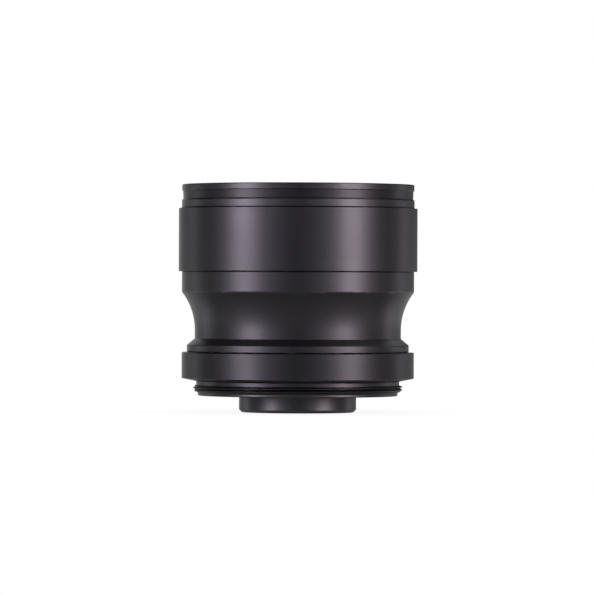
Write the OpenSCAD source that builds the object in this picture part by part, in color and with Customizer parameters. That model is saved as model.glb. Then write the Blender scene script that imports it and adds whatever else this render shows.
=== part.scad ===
// Screw-in tele conversion lens for a camera: a waisted barrel of turned black rings,
// four lenses in three groups, and a threaded collar at the rear that turns on the barrel.
// Millimetres. The optical axis is +Z, the front of the lens is up, and z = 0 is the rear rim.

/* [Front optics] */
// Diameter of the front lens and of the doublet
front_lens_d = 46.4; // [42:0.1:52]
// Thickness of the front lens on the axis
front_lens_t = 7; // [6:0.1:9]
// Radius of the front lens's outer face
front_face_r = 55; // [46:1:90]
// Radius of the front lens's inner face
front_back_r = 130; // [100:5:250]
// Air gap on the axis between the front lens and the doublet
air_gap = 0.9; // [0.6:0.1:2]
// Thickness of the doublet's crown lens on the axis
crown_t = 8.2; // [7:0.1:10]
// Radius of the crown lens's front face
crown_r = 68; // [56:1:110]
// Radius of the cemented face
cement_r = 180; // [120:5:300]
// Thickness of the doublet's flint lens on the axis
flint_t = 2.2; // [1.6:0.1:4]
// Radius of the flint lens's rear face
flint_r = 110; // [80:5:200]

/* [Rear optics] */
// Diameter of the rear lens
rear_lens_d = 22; // [18:0.1:24]
// Thickness of the rear lens on the axis
rear_lens_t = 2; // [1.5:0.1:3]
// Radius of the rear lens's inner hollow
rear_front_r = 130; // [70:5:250]
// Radius of the rear lens's outer hollow
rear_back_r = 80; // [50:5:200]

/* [Front barrel] */
// Wall of the front barrel round the lenses
barrel_wall = 3.32; // [2.8:0.01:5]
// Wall of the front barrel's skirt, where it screws into the waist
skirt_wall = 1.7; // [1.2:0.1:2]
// Wall of the cover sleeve
sleeve_wall = 1.3; // [0.9:0.05:2]
// How far the front lens's crown lies below the front rim
front_recess = 2.9; // [1.5:0.1:5]
// How far the doublet's seat lies below the sleeve's rear edge
seat_drop = 3.34; // [1.5:0.01:4]
// Width of the doublet's seat
seat_w = 1.8; // [1:0.1:3]
// Thickness of the doublet's seat
seat_t = 1.4; // [0.8:0.1:2]
// Wall of the spacer between the front lens and the doublet
spacer_wall = 1.5; // [1:0.1:2.5]
// Radial step down from the barrel to its nose
nose_step = 1.6; // [1.5:0.05:1.9]
// Radial step from the lens bore to the retainer's thread
retainer_step = 0.7; // [0.5:0.05:0.8]
// How far the retainer reaches in over the front lens
retainer_reach = 0.9; // [0.5:0.1:2]
// Thickness of the cushion ring on the front lens
cushion_t = 0.5; // [0.3:0.1:0.8]

/* [Front ring] */
// Height of the front lip
lip_h = 1.5; // [1:0.05:2.5]
// How far the lip lies inside the sleeve's outer face
lip_step = 0.75; // [0.4:0.05:0.9]
// Wall of the lip outside the filter thread
lip_wall = 1.15; // [0.9:0.05:1.5]
// Height of the groove under the lip
groove_h = 2; // [1.5:0.05:3]
// Depth of the groove under the lip
groove_depth = 0.25; // [0.1:0.05:0.4]
// Height of the band between the groove and the sleeve
ring_h = 2.05; // [1.2:0.05:2.5]
// How far that band lies inside the sleeve's outer face
ring_step = 0.7; // [0.4:0.05:0.9]
// Pitch of the filter thread
filter_pitch = 0.75; // [0.5, 0.75]
// Full turns of the filter thread
filter_turns = 3; // [2:1:3]

/* [Waist barrel] */
// How far the sleeve stands proud of the shoulder behind it
sleeve_step = 0.75; // [0.4:0.05:1]
// Height of the shoulder behind the sleeve
shoulder_h = 4.8; // [3.5:0.05:8]
// Height of the hollow sweep from the shoulder down to the waist
sweep_h = 8.9; // [6:0.1:12]
// Depth of the waist below the shoulder
waist_depth = 3.05; // [1.5:0.05:4]
// Height of the straight waist
waist_h = 1.9; // [1:0.05:5]
// Wall of the waist round the light path
waist_wall = 3.6; // [2:0.1:5]
// Height of the flare below the waist
flare_h = 1.55; // [1:0.05:3]
// How far the flare runs out from the waist
flare_out = 1.85; // [1:0.05:3]
// Height of the band below the flare
band_h = 1.6; // [1:0.05:3]
// How far the waist barrel reaches up under the sleeve
joint_h = 5.5; // [4:0.1:8]
// Width of the ledge that carries the glare stop
ledge_w = 2.5; // [1.5:0.1:3]
// Thickness of the glare stop
stop_t = 0.8; // [0.5:0.1:1.2]
// How far the glare stop reaches in from its bore
stop_w = 3.5; // [2.8:0.1:4.5]
// Section of the wire clip over the glare stop
clip_d = 0.8; // [0.5:0.1:1]

/* [Mount collar] */
// Diameter of the mount thread
thread_d = 49; // [46, 49, 52, 55]
// Pitch of the mount thread
thread_pitch = 0.75; // [0.5, 0.75, 1]
// Full turns of the mount thread
thread_turns = 2; // [1:1:3]
// How far the pilot in front of the thread lies inside its crest
pilot_relief = 1.1; // [0.8:0.05:1.5]
// Height of the pilot
pilot_h = 0.85; // [0.5:0.05:2]
// Wall of the pilot
pilot_wall = 1.4; // [1:0.1:2]
// How far the neck behind the thread lies inside its crest
neck_relief = 0.75; // [0.6:0.05:1.2]
// Height of the neck
neck_h = 1.2; // [1:0.05:3]
// How far the flange lies inside the shoulder's outer face
flange_step = 0; // [0:0.05:0.5]
// Height of the flange
flange_h = 6.6; // [3:0.05:8]
// How far the flange's underside rises from the neck out to the rim
flange_slope = 0.5; // [0.2:0.05:0.8]
// Gap between the collar's rim and the band above it
rim_gap = 0.1; // [0.08:0.01:0.2]
// Thickness of the slip washer, which lies in a recess in the collar
washer_t = 0.3; // [0.2:0.05:0.5]
// Width of the slip washer
washer_w = 2.6; // [2:0.1:5]
// Width of the retainer that keeps the collar on
keeper_w = 2.6; // [2:0.1:3]
// Thickness of that retainer
keeper_t = 1.6; // [1.2:0.1:1.8]
// Radial gap between that retainer and the collar round it
keeper_gap = 0.32; // [0.2:0.02:0.5]
// How far that retainer reaches out under the collar
keeper_hold = 1.65; // [1:0.05:1.9]

/* [Rear cell] */
// Wall of the rear cell round the rear lens
rear_wall = 2.67; // [2:0.01:3]
// How far the rear cell reaches out of the collar
rear_reach = 3.85; // [3:0.05:8]
// Chamfer of the rear rim
rear_chamfer = 0.65; // [0.3:0.05:0.8]
// How far the end of the barrel's spigot lies inside the collar
spigot_recess = 1.2; // [1:0.05:2]
// Thickness of the rear cell's flange
cell_flange_t = 0.6; // [0.5:0.05:0.7]
// How far the rear cell's flange reaches out past its thread
cell_flange_out = 1.95; // [1:0.05:2.5]
// How far the rear cell's thread stands proud of its rear tube
cell_thread_out = 0.85; // [0.5:0.05:1.2]
// Length of the rear cell's thread
cell_thread_h = 6.8; // [5:0.1:8]
// Length of the grub screws that lock the rear cell
cell_grub_l = 2.6; // [2:0.1:4]
// Thickness of the spacing shim under the cell's flange
shim_t = 0.2; // [0.1:0.05:0.3]
// Width of the rear lens's seat
rear_seat_w = 1; // [0.6:0.1:1.5]
// How far the rear retainer lies inside the rear rim
rear_retainer_drop = 0.35; // [0.2:0.05:1]
// Thickness of the rear retainer
rear_retainer_t = 1.15; // [0.8:0.05:2]
// Radial step from the rear lens's bore to the rear retainer's thread
rear_retainer_step = 0.4; // [0.3:0.05:0.6]
// How far the rear retainer reaches in over the rear lens
rear_retainer_reach = 1.3; // [0.6:0.1:2]

/* [Fits and fasteners] */
// Radial clearance of screwed and slid fits
fit_gap = 0.05; // [0.02:0.01:0.1]
// Radial clearance of the lenses in their bores
lens_gap = 0.03; // [0.01:0.01:0.05]
// Gap where a lens meets what seats it, and the cement line of the doublet
seat_gap = 0.02; // [0.01:0.01:0.05]
// Radial running clearance of the collar
turn_gap = 0.08; // [0.03:0.01:0.1]
// End play of the collar on each side
end_play = 0.05; // [0.03:0.01:0.1]
// Chamfer of the outer edges
edge_chamfer = 0.2; // [0.1:0.05:0.3]
// Rounding of the front lip
lip_round = 0.45; // [0.2:0.05:0.6]
// Diameter of the grub screws
grub_d = 1.6; // [1.2, 1.6, 2]
// How far the grub screws lie below the face that they are screwed in from
grub_inset = 0.2; // [0.1:0.05:0.4]
// Number of grub screws in each ring of them
grub_count = 3; // [2:1:6]
// Hexagon size of the grub screws, across flats
grub_key = 0.7; // [0.5:0.1:0.9]
// Width of the spanner slots
slot_w = 1.5; // [1:0.1:2]
// Depth of the spanner slots
slot_depth = 0.7; // [0.4:0.1:0.9]

/* [Hidden] */
$fn = 200;
// overlap of a cut past the face that it opens
cut = 0.1;

// depth of a spherical face of radius r at half-width h
function sag(r, h) = r - sqrt(r * r - h * h);

// heights of the outline, from the rear rim up
z_collar = rear_reach;
z_thread = z_collar + pilot_h;
z_neck = z_thread + thread_turns * thread_pitch;
z_flange = z_neck + neck_h;
z_flange_rim = z_flange + flange_slope;
z_collar_top = z_flange + flange_h;
z_band = z_collar_top + rim_gap;
z_flare = z_band + band_h;
z_waist = z_flare + flare_h;
z_sweep = z_waist + waist_h;
z_shoulder = z_sweep + sweep_h;
z_sleeve = z_shoulder + shoulder_h;
z_joint = z_sleeve + joint_h;

// radii of the front, from the lenses outwards
front_lens_r = front_lens_d / 2;
bore_r = front_lens_r + lens_gap;
barrel_r = bore_r + barrel_wall;
sleeve_in_r = barrel_r + fit_gap;
sleeve_r = sleeve_in_r + sleeve_wall;
skirt_r = bore_r + skirt_wall;
socket_r = skirt_r + fit_gap;
nose_r = barrel_r - nose_step;
retainer_r = bore_r + retainer_step;
retainer_in_r = front_lens_r - retainer_reach;
ring_r = sleeve_r - ring_step;
lip_r = sleeve_r - lip_step;
groove_r = lip_r - groove_depth;
filter_major_r = lip_r - lip_wall;

// radii of the waist, from the shoulder inwards
shoulder_r = sleeve_r - sleeve_step;
waist_r = shoulder_r - waist_depth;
sweep_r = (sweep_h * sweep_h + waist_depth * waist_depth) / (2 * waist_depth);
band_r = waist_r + flare_out;
flange_r = shoulder_r - flange_step;
tunnel_r = waist_r - waist_wall;
room_r = tunnel_r - ledge_w;

// radii of the mount, from the thread inwards
thread_r = thread_d / 2;
neck_r = thread_r - neck_relief;
pilot_r = thread_r - pilot_relief;
pocket_r = pilot_r - pilot_wall;
keeper_r = pocket_r - keeper_gap;
spigot_r = keeper_r - keeper_hold;
spigot_end_r = keeper_r - keeper_w;

// radii of the rear cell, from the rear lens outwards
rear_lens_r = rear_lens_d / 2;
rear_bore_r = rear_lens_r + lens_gap;
rear_r = rear_bore_r + rear_wall;
cell_thread_r = rear_r + cell_thread_out;
cell_flange_r = cell_thread_r + cell_flange_out;
rear_seat_r = rear_bore_r - rear_seat_w;
rear_retainer_r = rear_bore_r + rear_retainer_step;
rear_retainer_in_r = rear_lens_r - rear_retainer_reach;
cell_mouth_r = cell_thread_r - rear_wall + rear_seat_w;

// the lens stack, from the doublet's seat up to the front lens
z_seat = z_sleeve - seat_drop;
z_flint = z_seat + sag(flint_r, front_lens_r);
z_cement = z_flint + flint_t;
z_crown = z_cement + crown_t;
z_front_back = z_crown + air_gap;
z_front_face = z_front_back + front_lens_t;
z_front_edge = z_front_face - sag(front_face_r, front_lens_r);
z_front_back_edge = z_front_back - sag(front_back_r, front_lens_r);

// the front ring, from the front rim down
z_front = z_front_face + front_recess;
z_lip = z_front - lip_h;
z_groove = z_lip - groove_h;
z_ring = z_groove - ring_h;
z_nose = z_groove - edge_chamfer;
z_cushion = z_front_face - sag(front_face_r, retainer_in_r) + seat_gap;
z_retainer = z_cushion + cushion_t;
z_skirt = z_seat - seat_t;

// the rear cell, from the rear rim up
z_rear_retainer = rear_retainer_drop + rear_retainer_t;
z_rear_edge = z_rear_retainer + seat_gap;
z_rear_back = z_rear_edge + sag(rear_back_r, rear_lens_r);
z_rear_front = z_rear_back + rear_lens_t;
z_rear_seat = z_rear_front + sag(rear_front_r, rear_lens_r);
z_spigot_end = z_collar + spigot_recess;
z_shim = z_spigot_end - shim_t;
z_cell_flange = z_shim - cell_flange_t;
z_cell_top = z_spigot_end + cell_thread_h;
z_keeper = z_spigot_end + edge_chamfer;
z_keeper_top = z_keeper + keeper_t;
z_collar_lip = z_keeper_top + 2 * end_play;

// places of the grub screws
z_barrel_grub = z_sleeve + joint_h / 2;
z_cell_grub = (z_collar_lip + z_cell_top) / 2;
barrel_grub_l = barrel_r - socket_r - grub_inset;

anodised = "#262429";
dark_anodised = "#1b1a1d";
steel = "#6f7277";
glass = "#9fb3b0";

// Shared shapes

// half-section of a ring, with chamfered outer corners
module ring_section(r_in, r_out, z_low, z_high, low_chamfer = 0, high_chamfer = 0)
    polygon([
        [r_in, z_low], [r_out - low_chamfer, z_low], [r_out, z_low + low_chamfer],
        [r_out, z_high - high_chamfer], [r_out - high_chamfer, z_high], [r_in, z_high]
    ]);

// a ring turned about the optical axis
module turned_ring(r_in, r_out, z_low, z_high, low_chamfer = 0, high_chamfer = 0)
    rotate_extrude() ring_section(r_in, r_out, z_low, z_high, low_chamfer, high_chamfer);

// disc bounded by a spherical face whose crown is at height z and whose middle lies below it
module dome_section(r, z) translate([0, z - r]) circle(r);

// the same, with the middle above the crown
module bowl_section(r, z) translate([0, z + r]) circle(r);

// depth of a 60 degree thread of the given pitch, and the shares of its flats
function thread_depth(pitch) = 0.613 * pitch;
function thread_crest(pitch) = pitch / 8;
function thread_flank(pitch) = thread_depth(pitch) * tan(30);
function thread_root(pitch) = pitch - thread_crest(pitch) - 2 * thread_flank(pitch);

// outline of thread ridges up the axis: crests at r_crest, roots at r_root
function thread_outline(r_crest, r_root, z, pitch, turns) = [
    for (i = [0:turns - 1])
        let (
            foot = z + i * pitch + thread_root(pitch) / 2,
            rise = thread_flank(pitch),
            flat = thread_crest(pitch)
        )
            each [
                [r_root, foot], [r_crest, foot + rise],
                [r_crest, foot + rise + flat], [r_root, foot + 2 * rise + flat]
            ]
];

// two spanner slots across a ring, cut down from height z
module spanner_slots(r_in, r_out, z, depth)
    for (side = [0, 180])
        rotate(side) translate([(r_in + r_out) / 2, 0, z - depth / 2 + cut / 2])
            cube([r_out - r_in + 2 * cut, slot_w, depth + cut], center = true);

// places children on a ring of grub screws at height z, pointing outwards from radius r
module grub_places(r, z)
    for (i = [0:grub_count - 1])
        rotate(i * 360 / grub_count) translate([r, 0, z]) rotate([0, 90, 0]) children();

// grub screw with its flat point at the origin and its hexagon at the far end
module grub_screw(length)
    difference() {
        cylinder(d = grub_d, h = length);
        translate([0, 0, length / 2]) cylinder(d = grub_key / cos(30), h = length / 2 + cut, $fn = 6);
    }

// drilled hole for a grub screw
module grub_hole(length) translate([0, 0, -cut]) cylinder(d = grub_d + 2 * fit_gap, h = length + 2 * cut);

// Barrel

// outer half-section of the waist barrel, solid to the axis
module waist_outline() {
    ring_section(0, spigot_end_r, z_spigot_end, z_keeper_top + cut);
    ring_section(0, spigot_r, z_keeper_top, z_band + cut);
    ring_section(0, band_r, z_band, z_flare, edge_chamfer);
    polygon([[0, z_flare], [band_r, z_flare], [waist_r, z_waist], [0, z_waist]]);
    ring_section(0, waist_r, z_waist, z_sweep);
    difference() {
        ring_section(0, shoulder_r, z_sweep, z_sleeve, 0, edge_chamfer);
        translate([waist_r + sweep_r, z_sweep]) circle(sweep_r);
    }
    ring_section(0, barrel_r, z_sleeve - cut, z_joint);
}

// stepped light path through the waist barrel
module waist_bores() {
    ring_section(0, cell_thread_r + fit_gap, z_spigot_end - cut, z_flare + cut);
    ring_section(0, room_r, z_flare, z_sweep + cut);
    ring_section(0, tunnel_r, z_sweep, z_skirt);
    ring_section(0, socket_r, z_skirt - fit_gap, z_joint + cut);
    translate([tunnel_r, z_sweep + stop_t + clip_d / 2]) circle(d = clip_d);
}

module waist_barrel()
    color(anodised) difference() {
        rotate_extrude() difference() {
            waist_outline();
            waist_bores();
        }
        grub_places(socket_r, z_barrel_grub) grub_hole(barrel_r - socket_r);
        grub_places(cell_thread_r, z_cell_grub) grub_hole(spigot_r - cell_thread_r);
    }

module front_barrel()
    color(dark_anodised) rotate_extrude() difference() {
        union() {
            ring_section(0, skirt_r, z_skirt, z_joint + cut);
            ring_section(0, barrel_r, z_joint, z_ring);
            ring_section(0, nose_r, z_ring - cut, z_nose);
        }
        ring_section(0, bore_r - seat_w, z_skirt - cut, z_seat + cut);
        ring_section(0, bore_r, z_seat, z_nose);
        ring_section(0, retainer_r + fit_gap, z_front_edge - edge_chamfer, z_nose + cut);
    }

module cover_sleeve()
    color(anodised) turned_ring(sleeve_in_r, sleeve_r, z_sleeve, z_ring, edge_chamfer, edge_chamfer);

// Front ring, with a lip over a shallow groove, and inside it a filter thread above a run-out groove

module front_ring() {
    filter_crest_r = filter_major_r - thread_depth(filter_pitch);
    z_filter = z_front - 2 * edge_chamfer - filter_turns * filter_pitch;
    color(anodised) rotate_extrude() difference() {
        union() {
            ring_section(0, ring_r, z_ring, z_groove, edge_chamfer, edge_chamfer / 2);
            ring_section(0, groove_r, z_groove - cut, z_lip + cut);
            ring_section(0, lip_r, z_lip, z_front - lip_round, edge_chamfer / 2);
            ring_section(0, lip_r - lip_round, z_lip, z_front);
            translate([lip_r - lip_round, z_front - lip_round]) circle(lip_round);
        }
        ring_section(0, nose_r + fit_gap, z_ring - cut, z_nose + cut);
        polygon(concat(
            [[0, z_nose], [filter_major_r, z_nose], [filter_major_r, z_filter], [filter_crest_r, z_filter]],
            thread_outline(filter_major_r, filter_crest_r, z_filter, filter_pitch, filter_turns),
            [
                [filter_crest_r, z_front - edge_chamfer], [filter_crest_r + edge_chamfer, z_front],
                [filter_crest_r + edge_chamfer, z_front + cut], [0, z_front + cut]
            ]
        ));
    }
}

module front_retainer()
    color(dark_anodised) difference() {
        rotate_extrude() polygon([
            [retainer_in_r, z_retainer], [retainer_r, z_retainer], [retainer_r, z_nose],
            [retainer_in_r + (z_nose - z_retainer) / 4, z_nose], [retainer_in_r, z_retainer + cushion_t]
        ]);
        spanner_slots(retainer_in_r, retainer_r, z_nose, slot_depth);
    }

module front_cushion()
    color("#141414") turned_ring(retainer_in_r, retainer_r - fit_gap, z_cushion, z_retainer);

// Front lenses

module front_element()
    color(glass) rotate_extrude() difference() {
        intersection() {
            ring_section(0, front_lens_r, z_front_back_edge, z_front_face);
            dome_section(front_face_r, z_front_face);
        }
        dome_section(front_back_r, z_front_back);
    }

module lens_spacer()
    color(dark_anodised) rotate_extrude() difference() {
        ring_section(front_lens_r - spacer_wall, front_lens_r, z_cement, z_front_back_edge - seat_gap);
        dome_section(crown_r + seat_gap, z_crown + seat_gap);
    }

module doublet_crown()
    color(glass) rotate_extrude() intersection() {
        ring_section(0, front_lens_r, z_cement, z_crown);
        dome_section(crown_r, z_crown);
        bowl_section(cement_r, z_cement);
    }

module doublet_flint()
    color(glass) rotate_extrude() difference() {
        ring_section(0, front_lens_r, z_seat, z_cement + sag(cement_r, front_lens_r) - seat_gap);
        dome_section(flint_r, z_flint);
        bowl_section(cement_r + seat_gap, z_cement - seat_gap);
    }

// Glare stop in the waist, with a wire clip over it

module glare_stop()
    color(dark_anodised) rotate_extrude() polygon([
        [tunnel_r - fit_gap, z_sweep], [tunnel_r - fit_gap, z_sweep + stop_t],
        [tunnel_r - stop_w + stop_t, z_sweep + stop_t], [tunnel_r - stop_w, z_sweep + stop_t / 4],
        [tunnel_r - stop_w, z_sweep]
    ]);

module stop_clip()
    color(steel) rotate_extrude(angle = 330)
        translate([tunnel_r - fit_gap, z_sweep + stop_t + clip_d / 2]) circle(d = clip_d - 2 * seat_gap);

module barrel_set_screws()
    color(steel) grub_places(socket_r - fit_gap + seat_gap, z_barrel_grub) grub_screw(barrel_grub_l);

// Rear cell, its lens and the parts that hold them

module rear_cell()
    color(anodised) rotate_extrude() difference() {
        union() {
            ring_section(0, rear_r, 0, z_cell_flange + cut, rear_chamfer);
            ring_section(0, cell_flange_r, z_cell_flange, z_shim, edge_chamfer);
            ring_section(0, cell_thread_r, z_cell_flange, z_cell_top, 0, edge_chamfer);
        }
        ring_section(0, rear_retainer_r + fit_gap, -cut, z_rear_edge + rear_retainer_step);
        ring_section(0, rear_bore_r, 0, z_rear_seat);
        polygon([
            [0, z_rear_seat - cut], [rear_seat_r, z_rear_seat - cut], [rear_seat_r, z_rear_seat],
            [cell_mouth_r, z_cell_top], [cell_mouth_r, z_cell_top + cut], [0, z_cell_top + cut]
        ]);
    }

module cell_shim()
    color("#b08d4a")
        turned_ring(cell_thread_r + fit_gap, cell_flange_r - edge_chamfer, z_shim, z_spigot_end);

module rear_element()
    color(glass) rotate_extrude() difference() {
        ring_section(0, rear_lens_r, z_rear_edge, z_rear_seat);
        dome_section(rear_back_r, z_rear_back);
        bowl_section(rear_front_r, z_rear_front);
    }

module rear_retainer()
    color(dark_anodised) difference() {
        turned_ring(rear_retainer_in_r, rear_retainer_r, rear_retainer_drop, z_rear_retainer);
        spanner_slots(rear_retainer_in_r, rear_retainer_r, rear_retainer_drop + slot_depth, slot_depth + cut);
    }

module cell_set_screws()
    color(steel) grub_places(cell_thread_r + seat_gap, z_cell_grub) grub_screw(cell_grub_l);

// Mount collar, which turns on the barrel's spigot between a slip washer and a retainer

module mount_collar() {
    thread_root_r = thread_r - thread_depth(thread_pitch);
    color(anodised) rotate_extrude() difference() {
        union() {
            ring_section(0, pilot_r, z_collar, z_thread + cut, edge_chamfer);
            polygon(concat(
                [[0, z_thread], [thread_root_r, z_thread]],
                thread_outline(thread_r, thread_root_r, z_thread, thread_pitch, thread_turns),
                [[thread_root_r, z_neck], [0, z_neck]]
            ));
            ring_section(0, neck_r, z_neck - cut, z_flange + cut);
            polygon([
                [0, z_flange], [neck_r, z_flange],
                [flange_r - edge_chamfer, z_flange_rim], [flange_r, z_flange_rim + edge_chamfer],
                [flange_r, z_collar_top - edge_chamfer], [flange_r - edge_chamfer, z_collar_top],
                [0, z_collar_top]
            ]);
        }
        ring_section(0, pocket_r, z_collar - cut, z_collar_lip);
        ring_section(0, spigot_r + turn_gap, z_collar, z_collar_top + cut);
        ring_section(0, spigot_r + washer_w + turn_gap, z_band - washer_t - end_play, z_collar_top + cut);
    }
}

module collar_washer()
    color("#d8d6cf") turned_ring(spigot_r + fit_gap, spigot_r + washer_w, z_band - washer_t, z_band);

module collar_retainer()
    color(dark_anodised) difference() {
        turned_ring(spigot_end_r + fit_gap, keeper_r, z_keeper, z_keeper_top, edge_chamfer);
        spanner_slots(spigot_end_r, keeper_r, z_keeper + slot_depth, slot_depth + cut);
    }

waist_barrel();
front_barrel();
cover_sleeve();
front_ring();
front_retainer();
front_cushion();
front_element();
lens_spacer();
doublet_crown();
doublet_flint();
glare_stop();
stop_clip();
barrel_set_screws();
rear_cell();
cell_shim();
rear_element();
rear_retainer();
cell_set_screws();
mount_collar();
collar_washer();
collar_retainer();
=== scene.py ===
# looks of a screw-in tele conversion lens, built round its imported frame
# lengths are millimetres in the dictionaries and metres in the meshes

import math

import bpy
import numpy as np
from mathutils import Matrix, Vector


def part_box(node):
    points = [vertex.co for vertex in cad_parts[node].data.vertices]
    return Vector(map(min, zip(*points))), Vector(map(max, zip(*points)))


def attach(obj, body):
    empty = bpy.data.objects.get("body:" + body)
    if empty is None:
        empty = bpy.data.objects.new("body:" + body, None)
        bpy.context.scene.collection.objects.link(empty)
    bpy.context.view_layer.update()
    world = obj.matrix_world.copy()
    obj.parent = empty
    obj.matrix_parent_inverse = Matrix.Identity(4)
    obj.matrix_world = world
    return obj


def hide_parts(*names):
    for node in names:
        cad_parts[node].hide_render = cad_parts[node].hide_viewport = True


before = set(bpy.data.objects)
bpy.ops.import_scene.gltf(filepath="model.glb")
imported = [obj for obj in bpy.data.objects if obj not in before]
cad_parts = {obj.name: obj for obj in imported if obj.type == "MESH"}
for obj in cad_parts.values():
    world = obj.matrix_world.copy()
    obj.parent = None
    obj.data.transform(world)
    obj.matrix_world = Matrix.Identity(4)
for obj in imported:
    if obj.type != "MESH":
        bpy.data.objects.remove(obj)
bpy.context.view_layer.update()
mm = 0.001
print("frame loaded,", len(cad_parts), "nodes")


# outer radius, lowest and highest z of a turned node, in mm
def nodeSpan(node):
    low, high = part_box(node)
    return max(high.x, high.y, -low.x, -low.y) / mm, low.z / mm, high.z / mm


# depth of a ball of radius ball at half-width r, from its crown
def sag(ball, r):
    return ball - np.sqrt(ball * ball - r * r)


# shapes

shape = {
    "columns": 288,  # points round a turned piece
    "arcSteps": 5,  # points on a rounded corner
    "hold": 0.08,  # flat kept beside a rounded corner
    "mostPull": 0.4,  # of a side, taken by one rounding
    "mostHold": 0.1,  # of a side, taken by one hold
    "join": 1e-5,  # points nearer than this are one
    "sharpAngle": 32,  # degrees
}
fine = 0.05  # small rounding that many corners share
tiny = 1e-9


# outline of (r, z, rounding, painted shade) corners, read as a loop. At each corner both sides are pulled
# back by rounding / tan(half the corner's angle) and an arc joins them. A hold point on each side keeps the
# flats flat. The third column of the result is 1 on the arcs and 0 elsewhere. The fourth is the corner's
# painted shade, a darkening of corners, joints and recesses that ends at the hold points unless the next
# corner shares it.
def roundedOutline(corners):
    corners = np.array([(*corner, 0.0)[:4] for corner in corners], float)
    points, rounding, paintedShade = corners[:, :2], corners[:, 2], corners[:, 3]
    back = np.roll(points, 1, axis=0) - points
    ahead = np.roll(points, -1, axis=0) - points
    backLength = np.linalg.norm(back, axis=1)
    aheadLength = np.linalg.norm(ahead, axis=1)
    back = back / backLength[:, None]
    ahead = ahead / aheadLength[:, None]
    half = np.arccos(np.clip((back * ahead).sum(1), -1, 1)) / 2
    pull = np.minimum(rounding / np.tan(half), shape["mostPull"] * np.minimum(backLength, aheadLength))
    radius = pull * np.tan(half)
    middle = back + ahead
    middle = middle / np.maximum(np.linalg.norm(middle, axis=1), tiny)[:, None]
    centre = points + middle * (radius / np.sin(half))[:, None]
    first = points + back * pull[:, None] - centre
    last = points + ahead * pull[:, None] - centre
    sweep = np.pi - 2 * half
    share = np.linspace(0, 1, shape["arcSteps"] + 1)
    chord = np.maximum(np.sin(sweep), tiny)[:, None]
    fromFirst = np.sin((1 - share) * sweep[:, None]) / chord
    fromLast = np.sin(share * sweep[:, None]) / chord
    arcs = centre[:, None] + fromFirst[..., None] * first[:, None] + fromLast[..., None] * last[:, None]
    arcs = np.where((rounding > 0)[:, None, None], arcs, points[:, None])
    holdBack = np.where(rounding > 0, np.minimum(shape["hold"], shape["mostHold"] * backLength), 0)
    holdAhead = np.where(rounding > 0, np.minimum(shape["hold"], shape["mostHold"] * aheadLength), 0)
    before = arcs[:, 0] + back * holdBack[:, None]
    after = arcs[:, -1] + ahead * holdAhead[:, None]
    line = np.concatenate([before[:, None], arcs, after[:, None]], axis=1)
    onArc = np.zeros(line.shape[:2])
    onArc[:, 1:-1] = (rounding > 0)[:, None]
    inPaintedShade = np.repeat(paintedShade[:, None], line.shape[1], axis=1)
    inPaintedShade[:, 0] = np.where(rounding > 0, np.minimum(paintedShade, np.roll(paintedShade, 1)), paintedShade)
    inPaintedShade[:, -1] = np.minimum(paintedShade, np.roll(paintedShade, -1))
    outline = np.column_stack([line.reshape(-1, 2), onArc.reshape(-1), inPaintedShade.reshape(-1)])
    gap = np.linalg.norm(outline[:, :2] - np.roll(outline[:, :2], 1, axis=0), axis=1)
    return outline[gap > shape["join"]]


# mesh from a grid of points: rows run along the outline, columns round the axis. The rows close into a loop,
# or the first and last row shrink to a point on the axis.
def gridMesh(name, r, z, angle, masks, poles):
    rows, columns = len(r), angle.shape[1]
    place = np.stack(np.broadcast_arrays(r * np.cos(angle), r * np.sin(angle), z), axis=-1) * mm
    number = np.arange(rows * columns).reshape(rows, columns)
    turnOn = np.roll(number, -1, axis=1)
    if poles:
        keep = number[1:-1]
        low, high = number[0, 0], number[-1, 0]
        quads = np.stack([keep[:-1], turnOn[1:-2], turnOn[2:-1], keep[1:]], axis=-1).reshape(-1, 4)
        lowFan = np.stack([np.full(columns, low), turnOn[1], number[1]], axis=-1)
        highFan = np.stack([number[-2], turnOn[-2], np.full(columns, high)], axis=-1)
        used = np.ones(rows * columns, bool)  # the spare copies of the two axis points go
        used[number[0, 1:]] = False
        used[number[-1, 1:]] = False
        renumber = np.cumsum(used) - 1
        faces = renumber[quads].tolist() + renumber[lowFan].tolist() + renumber[highFan].tolist()
    else:
        up = np.roll(number, -1, axis=0)
        upTurn = np.roll(turnOn, -1, axis=0)
        faces = np.stack([number, turnOn, upTurn, up], axis=-1).reshape(-1, 4).tolist()
        used = np.ones(rows * columns, bool)
    mesh = bpy.data.meshes.new(name)
    mesh.from_pydata(place.reshape(-1, 3)[used].tolist(), [], faces)
    for maskName, values in zip(("edgeMask", "paintedShadeMask"), masks):
        mask = mesh.attributes.new(maskName, "FLOAT", "POINT")
        values = np.broadcast_to(values, (rows, columns)).reshape(-1)[used]
        mask.data.foreach_set("value", values.astype(np.float32))
    mesh.shade_smooth()
    mesh.set_sharp_from_angle(angle=math.radians(shape["sharpAngle"]))
    mesh.update()
    return mesh


# puts a mesh in the scene as a finished piece on its body
def addPiece(mesh, material, body, node):
    piece = bpy.data.objects.new(mesh.name, mesh)
    bpy.context.scene.collection.objects.link(piece)
    mesh.materials.append(material)
    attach(piece, body)
    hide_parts(node)


# loops have to run anticlockwise, with a signed area above 0, for faces to point outwards
def runsBack(r, z):
    return np.sum(r * np.roll(z, -1) - np.roll(r, -1) * z) < 0


def anticlockwise(outline):
    return outline[::-1] if runsBack(outline[:, 0], outline[:, 1]) else outline


def columnAngles():
    return np.linspace(0, 2 * np.pi, shape["columns"], endpoint=False)[None, :]


# surface of turning: the outline's (r, z) goes round the axis, x = r cos t, y = r sin t
def turnedMesh(name, corners):
    r, z, edge, paintedShade = anticlockwise(roundedOutline(corners)).T[..., None]
    return gridMesh(name, r, z, columnAngles(), (edge, paintedShade), poles=False)


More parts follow.
